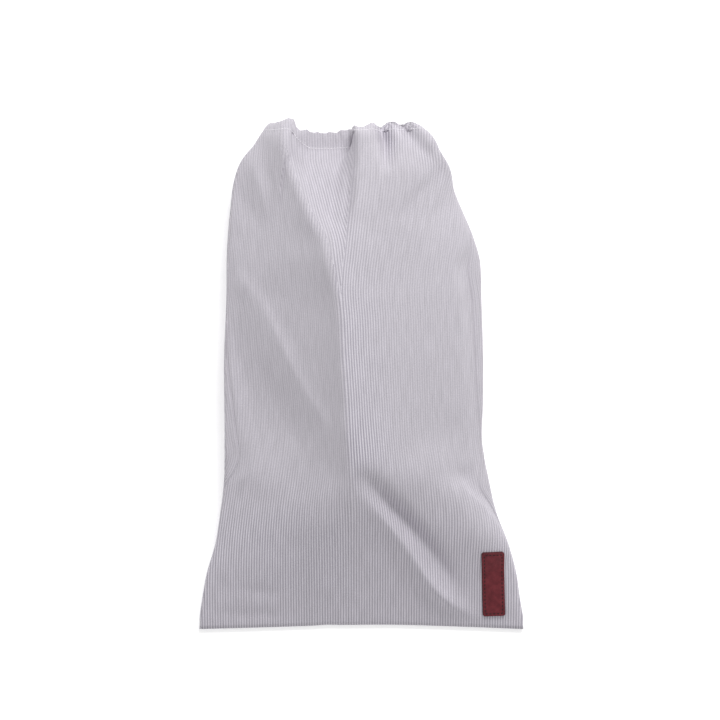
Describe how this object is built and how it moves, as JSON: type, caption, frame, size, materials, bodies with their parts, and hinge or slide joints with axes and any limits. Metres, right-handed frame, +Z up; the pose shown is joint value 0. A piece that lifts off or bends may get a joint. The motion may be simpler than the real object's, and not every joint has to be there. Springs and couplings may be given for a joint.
{
  "type": "gathered cloth pouch",
  "caption": "Tall cloth pouch with a gathered open mouth, a flat sewn foot and a small leather patch at a lower corner, lying on its back.",
  "frame": {"origin": "on the floor under the middle of the pouch's box", "axes": "+X to the right of the front, +Y from the sewn foot to the mouth, +Z up from the back to the front"},
  "size_m": [0.2996, 0.4714, 0.093],
  "materials": {
    "cord_cotton": "fine light and lilac-grey cord stripes running from the foot to the mouth",
    "cord_cotton_back": "the same fine cord stripes",
    "patch_leather": "matt burgundy, fine grain, plain face"
  },
  "bodies": {
    "root": {"front_panel": "cord_cotton", "back_panel": "cord_cotton_back", "leather_patch": "patch_leather"}
  },
  "joints": []
}
